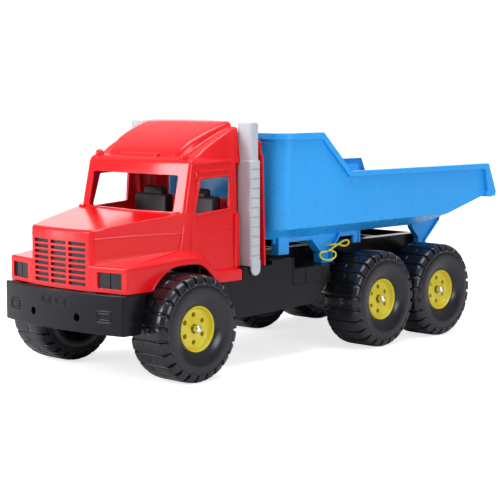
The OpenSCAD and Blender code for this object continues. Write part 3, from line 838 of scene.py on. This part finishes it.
def cab_panel():
    """Upright panel behind the exhausts, with the rear window cut in it."""
    outline = [(125, 141.5), (119.5, 296), (116.5, 299), (115.5, 317)]
    outline = outline + [(-x, z) for x, z in reversed(outline)]
    panel = round_all(prism("y", rounded_outline(outline, [2, 1, 1, 4, 4, 1, 1, 2], 3), 156, 159), 0.8, 2)
    hole = prism("y", rounded_outline([(-72, 233), (72, 233), (72, 283), (-72, 283)], 4), 150, 165)
    return combine(panel, "DIFFERENCE", hole, box((-80, 150, 100), (80, 165, 150)))


def cab_shells():
    """The walls of nose, fenders, cabin, roof fairing and rear box, each hollowed on its own."""
    fender, fender_room = fender_solid(0.0), fender_solid(WALL)
    hood_room, cabin_room = hood_solid(WALL), cabin_solid(WALL)
    rooms = [hood_room, cabin_room, fender_room, mirror_x(fender_room)]
    lamp = prism("y", rounded_outline([(72, 130.6), (112, 130.6), (112, 151.5), (72, 151.5)], 1.5, 3),
                 NOSE_Y - 6, NOSE_Y + 30)
    screen = prism("y", rounded_outline([(-87, 223.5), (87, 223.5), (87, 272.5), (-87, 272.5)], 4, 4), -25, 45)
    sides = prism("x", rounded_outline(window_outline(), 2.5, 4), -130, 130)
    rear = round_where(box((-95, 118, 125), (95, 157, 296)), 5.0, 4, lambda a, b: a.z > 295 and b.z > 295
                       and abs(a.x) > 90 and abs(b.x) > 90)
    rear_room = box((-92, 110, 90), (92, 170, 293))
    right_fender = combine(mirror_x(fender), "DIFFERENCE", *rooms, mirror_x(lamp))
    return [
        combine(hood_edges(hood_solid(0.0)), "DIFFERENCE", *rooms, grille_cutters()),
        right_fender,
        mirror_x(right_fender),
        combine(cabin_solid(0.0), "DIFFERENCE", *rooms, rear_room, screen, sides),
        combine(fairing_solid(), "DIFFERENCE", cabin_room, rear_room),
        combine(rear, "DIFFERENCE", rear_room, cabin_room),
    ]


def grille_cutters():
    """Grille slots, eight rows in three columns."""
    slots = []
    for x in (-36.6, 0.0, 36.6):
        for i in range(8):
            z = 131.2 + 7.55 * i
            slots.append(prism("y", rounded_outline([(x - 16, z), (x + 16, z),
                                                     (x + 16, z + 4.6), (x - 16, z + 4.6)],
                                                    0.8, 2), NOSE_Y - 6, NOSE_Y + 12))
    return merge(*slots)


def window_outline(grow=0.0):
    """Corners of the side window, in y and z."""
    return [(37 - grow, 220 - grow), (104.5 + grow, 224.5 - grow),
            (107 + grow, 269 + grow), (51 - grow, 267 + grow)]


def door_x(z):
    return cabin_half(z, 0.0)


def bead(points, radius, sink=0.3):
    """Bead on the door plane along (y, z) points."""
    return tube([(door_x(z) - sink, y, z) for y, z in points], radius)


def between(a, b, count):
    return [tuple(a[k] + (b[k] - a[k]) * i / count for k in range(2)) for i in range(count + 1)]


def arch_bead():
    """Rolled edge round the wheel arch."""
    points = []
    for y in [-52.5, -47, -42, -37, -30, -23, -14, -4, 8, 20, 31, 38, 44, 49, 54, 58.5, 62, 65]:
        points.append((float(np.interp(y, LIP[0], LIP[1])) - 1.0, y,
                       float(np.interp(y, ARCH[0], ARCH[1])) + 1.2))
    return tube(points, 1.7, 8)


def cab_beads():
    """Raised frames, drip rails and creases of both sides, the roof bar and its two marker lamps."""
    frame_line = rounded_outline(window_outline(1.4), 3.5, 4)
    frame_line = frame_line + frame_line[:2]
    beads = [
        bead(frame_line, 1.9, 0.2),
        bead(between((30, 171), (30, 196), 3) + between((30.5, 198), (34, 218), 3)
             + between((36, 226), (46, 268), 4),
             1.8, -0.1),
        bead(between((31, 195), (108, 195.6), 6), 0.9, 0.2),
        tube([(64.0, -106.0, 193.2), (81.3, -56.0, 195.2), (96.0, -13.0, 195.4), (106.2, 17.0, 195.4)], 0.9, 8),
        arch_bead(),
        bead([(46, 276.2), (50, 276.8), (75, 277.6), (99, 278.6), (103, 277.6)], 1.9, -0.2),
        bead(between((37, 288.4), (108, 289.6), 6), 2.0, 0.6),
        bead([(40, 268), (40, 271), (40.5, 276)], 2.6, -0.6),
        bead([(42.5, 258), (43, 263)], 2.2, -0.6),
    ]
    strip = round_all(prism("x", [(111, 141), (122, 141), (122, 216), (113, 217)], 104.0, 110.0), 1.2, 2)
    lump = round_all(prism("z", [(88, 6), (101, 8.6), (102, 15), (89, 12)], 221.0, 224.6), 1.2, 2)
    parts = beads + [strip, lump]
    mirrored_parts = [mirror_x(part) for part in parts]
    bar = round_all(prism("x", [(30.5, 293), (31.5, 298), (34.5, 300.6), (47, 301.6), (48, 294)], -37, 37),
                    1.1, 3)
    lamps = [ball((sign * 87.0, 37.0, 296.6), 6.1) for sign in (1, -1)]
    return parts + mirrored_parts + [bar] + lamps


def make_cab():
    finished(merge(*cab_shells(), cab_panel(), *cab_beads()), "cab_look", "cab_shell")


# ---------------------------------------------------------------- bumper


BUMPER_HALF = 122.5
BUMPER_ENDS = ((71.0, -77.0), (124.0, -66.0))


def bumper_loop(z, inset, shrink=0.0):
    """Plan of the bumper at one height: bowed front, rounded corners, returns that end before the tyre."""
    half = BUMPER_HALF - inset - shrink
    radius = 5.0 - inset
    front = -122.0 + inset + shrink
    limit = half - radius
    corner_y = front + bow(limit) + radius
    end = float(np.interp(z, [BUMPER_ENDS[0][0], BUMPER_ENDS[1][0]], [BUMPER_ENDS[0][1], BUMPER_ENDS[1][1]]))
    end = end + (30.0 if inset else -shrink)
    right = arc(limit, corner_y, radius, -66, 0, 5) + [(half, end)]
    middle = [(limit * (i / 12 - 1), front + bow(limit * (i / 12 - 1))) for i in range(1, 24)]
    left = [(-x, y) for x, y in reversed(right)]
    return [(x, y, z) for x, y in left[:-1] + [left[-1]] + middle + right]


def bumper_solid():
    """Wrap-round bumper shell with the two tow holes, their sockets and four blank panels."""
    levels = [(71.0, 1.2), (71.4, 0.4), (72.4, 0.0), (122.4, 0.0), (123.5, 0.5), (124.0, 1.4)]
    shell = loft([bumper_loop(z, 0.0, shrink) for z, shrink in levels])
    room = loft([bumper_loop(z, 3.5) for z in (60.0, 120.5)])
    holes = [prism("y", arc(sign * 45.0, 90.5, 5.5, 0, 337.5, 15), -140, -90) for sign in (1, -1)]
    sockets = []
    for sign in (1, -1):
        ring = combine(prism("y", arc(sign * 45.0, 90.5, 9.0, 0, 337.5, 15), -117.5, -98), "DIFFERENCE",
                       prism("y", arc(sign * 45.0, 90.5, 5.5, 0, 337.5, 15), -140, -90))
        sockets.append(ring)
    panels = [panel_outline(x, z, w, h) for x, z, w, h in
              ((92, 94.8, 24, 15), (-92, 94.8, 24, 15), (-16, 109.3, 18, 12), (14, 109.3, 18, 12))]
    return merge(combine(shell, "DIFFERENCE", room, *holes), *sockets, *panels)


def panel_outline(x, z, width, height):
    """Raised line round one blank lamp panel on the bumper's face, with a fainter one inside it."""
    lines = []
    for shrink, radius in ((0.0, 0.95), (3.4, 0.7)):
        w, h = width / 2 - shrink, height / 2 - shrink
        corners = [(x - w, z - h), (x + w, z - h), (x + w, z + h), (x - w, z + h)]
        loop = rounded_outline(corners, 3.0 - shrink * 0.6, 4)
        loop = loop + loop[:2]
        lines.append(tube([(px, -121.85 + bow(px), pz) for px, pz in loop], radius, 8))
    return merge(*lines)


def make_chassis():
    """The CAD chassis with its bumper exchanged for a smoother one."""
    bm = clean_copy("chassis")
    bmesh.ops.transform(bm, matrix=Matrix.Translation((0, -Y_SHIFT, 0)) @ Matrix.Diagonal((1000, 1000, 1000, 1)),
                        verts=bm.verts)
    bm = combine(bm, "DIFFERENCE", box((-140, -140, 60), (140, -111, 124.8)),
                 box((-140, -112, 60), (-87, -60, 124.8)), box((87, -112, 60), (140, -60, 124.8)))
    finished(merge(bm, bumper_solid()), "chassis_look", "chassis", angle=28)


# ---------------------------------------------------------------- tipping body

TUB_SIDE = [(184, 174), (184, 326), (267, 326), (330, 267.5), (681, 266), (696, 222), (686, 216), (578, 189),
            (540, 174)]
TUB_ROOM = [(150, 177), (150, 420), (780, 420), (780, 239.6), (685, 219.2), (577, 192.2), (539, 177)]
RIM_SIDE = [(170, 326), (267, 326), (330, 267.5), (681, 266), (702, 219.6), (700.5, 212), (676, 212), (679, 222),
            (671, 257), (326.5, 260), (264, 317), (170, 317)]


def tub_loft(levels, front, corner):
    """Upright solid open to the rear: each level gives a height, a half width and a front corner radius."""
    loops = []
    for z, half, scale in levels:
        r = corner * scale
        right = arc(half - r, front + r, r, -90, 0, 12) + [(half, 790.0)]
        loops.append([(x, y, z) for x, y in [(-x, y) for x, y in reversed(right)] + right])
    return loft(loops)


def tub_parts():
    """Load body's walls, the raised band round its rim and the rolled lip at the tail."""
    outer = tub_loft([(170.0, 98.0, 0.7), (174.0, 105.0, 0.75), (189.5, 131.0, 1.0), (330.0, 135.6, 1.0)],
                     184.0, 26.0)
    room = tub_loft([(176.9, 103.0, 0.7), (191.3, 128.0, 1.0), (326.0, 132.5, 1.0), (430.0, 136.0, 1.0)],
                    187.0, 24.0)
    rim = tub_loft([(200.0, 139.0, 1.0), (340.0, 139.0, 1.0)], 180.0, 29.0)
    hollow = combine(room, "INTERSECT", prism("x", TUB_ROOM, -170, 170))
    tub = combine(outer, "INTERSECT", prism("x", TUB_SIDE, -150, 150))
    band = combine(rim, "INTERSECT", prism("x", RIM_SIDE, -160, 160))
    lip = round_all(prism("x", arc(696.0, 215.5, 5.5, 0, 345, 23), -134, 134), 1.5, 2, 60)
    return [combine(tub, "DIFFERENCE", hollow), combine(band, "DIFFERENCE", hollow), lip]


def leg_parts():
    """Ribs, feet, tabs and legs under the left side, as (outline in y and z, from x, to x).

    Thin webs end a little inside their flanges and feet, so no two faces lie in one plane.
    """
    pieces = [
        ([(200.2, 178), (200.2, 167), (391.8, 167), (391.8, 178)], 98.8, 101.2),
        ([(204, 151), (226, 151), (226, 178), (204, 178)], 93, 108),
        ([(281.3, 178), (281.3, 167.1), (299.3, 149.1), (299.3, 131.8), (323.7, 131.8), (323.7, 149.1), (340.7, 170),
          (340.7, 178)], 98.5, 101.5),
        ([(278, 167), (281, 166.7), (301, 147), (301, 131.8), (298.5, 131.8), (298.5, 146)], 92.1, 107.9),
        ([(321.5, 131.8), (324, 131.8), (324, 149), (343, 172), (343, 177.8), (339.5, 177.8), (339.5, 173),
          (321.5, 150.5)], 92.1, 107.9),
        ([(299, 131.5), (324.1, 131.5), (324.1, 134), (299, 134)], 92, 108),
        ([(339, 178), (339, 168.5), (378, 168.5), (378, 155.7), (390, 155.7), (390, 178)], 99, 103),
        ([(388, 155.5), (390.5, 155.5), (390.5, 178), (388, 178)], 94, 106),
        ([(549.3, 180), (549.3, 166.3), (566.3, 148.1), (563.9, 130), (585.2, 130), (584.7, 142.2), (621.7, 174.2),
          (625.5, 200), (578, 191)], 77.5, 80.5),
        ([(549, 180), (549, 166), (566, 148), (563.5, 128), (566.5, 128), (569, 149), (552, 167.5), (552, 180)],
         74.1, 83.9),
        ([(585.5, 128), (585, 142), (622, 174), (626, 202), (622.5, 201), (618.8, 175.5), (582, 143.5), (582.5, 128)],
         74.1, 83.9),
        (arc(574.5, 128.0, 11.0, 0, 345, 23), 74, 84),
    ]
    solids = [prism("x", outline, low, high) for outline, low, high in pieces]
    return solids + [mirror_x(solid) for solid in solids]


def make_tipper():
    finished(merge(*tub_parts(), *leg_parts()), "tipper_look", "tipper_body", angle=28)


# ---------------------------------------------------------------- exhausts and wire


def post(x0, x1, y0, y1, levels, corner=5.0):
    """Upright post with rounded vertical edges; levels pair heights with an inset."""
    loops = []
    for z, inset in levels:
        a, b, c, d = x0 + inset, x1 - inset, y0 + inset, y1 - inset
        loops.append([(x, y, z) for x, y in rounded_outline([(a, c), (b, c), (b, d), (a, d)], corner, 5)])
    return loft(loops)


def exhaust_solid():
    """Left stack: slotted lower box, slimmer top and the tongue that hooks over the skirt."""
    lower = post(95.6, 125.0, 129.2, 149.0,
                 [(141.4, 1.6), (142.0, 0.6), (143.0, 0.0), (288.6, 0.0), (290.0, 1.2)])
    slots = [box((123.9, 130.5, 156.2 + 13.4 * i), (128.0, 152.0, 157.9 + 13.4 * i)) for i in range(10)]
    upper = post(96.2, 123.5, 130.0, 147.0, [(289.0, 0.0), (340.4, 0.0), (341.8, 0.8), (342.5, 2.4)])
    tongue = prism("x", [(148.0, 150.0), (130.0, 150.0)] + arc(139.0, 138.0, 9.0, 180, 360, 14), 122.0, 124.6)
    return merge(combine(lower, "DIFFERENCE", *slots), upper, tongue)


def make_exhausts():
    finished(exhaust_solid(), "exhaust_look_left", "exhaust_left", angle=40)
    finished(mirror_x(exhaust_solid()), "exhaust_look_right", "exhaust_right", angle=40)


WIRE = [(96, 318, 157), (104, 318, 157), (108.5, 319.5, 157.5), (110.4, 325, 157.8), (111, 334, 157),
        (111.4, 341, 154.9), (111.8, 347, 153.9), (112.3, 352, 155), (112.6, 355, 157.6), (112.6, 354.6, 160.6),
        (112.5, 351, 162.6), (112.3, 346, 162.4), (112, 338, 160), (111.8, 324, 154.8), (111.6, 310.4, 149.6),
        (111.4, 302, 148.8), (111.2, 295, 148.4), (111.2, 290.8, 146), (111.4, 291.2, 142.2), (111.8, 295, 138.7),
        (112.6, 301.5, 136.4), (113.6, 309, 135.9), (114.6, 316.5, 137.2), (115.2, 321.4, 140.6),
        (115.4, 321.8, 144.6), (115.3, 318, 147.8), (115.1, 312, 149.8), (114.9, 305.5, 151.2)]


def smooth_path(points, count=5):
    """Catmull-Rom curve through points."""
    pts = [Vector(p) for p in points]
    path = []
    for i in range(len(pts) - 1):
        a, b, c, d = pts[max(0, i - 1)], pts[i], pts[i + 1], pts[min(len(pts) - 1, i + 2)]
        for k in range(count):
            t = k / count
            path.append(0.5 * (2 * b + (c - a) * t + (2 * a - 5 * b + 4 * c - d) * t ** 2
                               + (3 * b - a - 3 * c + d) * t ** 3))
    return path + [pts[-1]]


def make_wire():
    finished(tube(smooth_path(WIRE), 1.35, 12), "tie_wire_look", "tie_wire", angle=60)


# ---------------------------------------------------------------- everything

make_camera()
make_floor()
make_lights()
for node, piece in nodes.items():
    dress(piece, SLOT_OF[node])
make_cab()
make_tipper()
make_exhausts()
make_wire()
make_chassis()
rounded("seat_insert", "seat_look", 3.0 * MM, 3)
place_wheels()
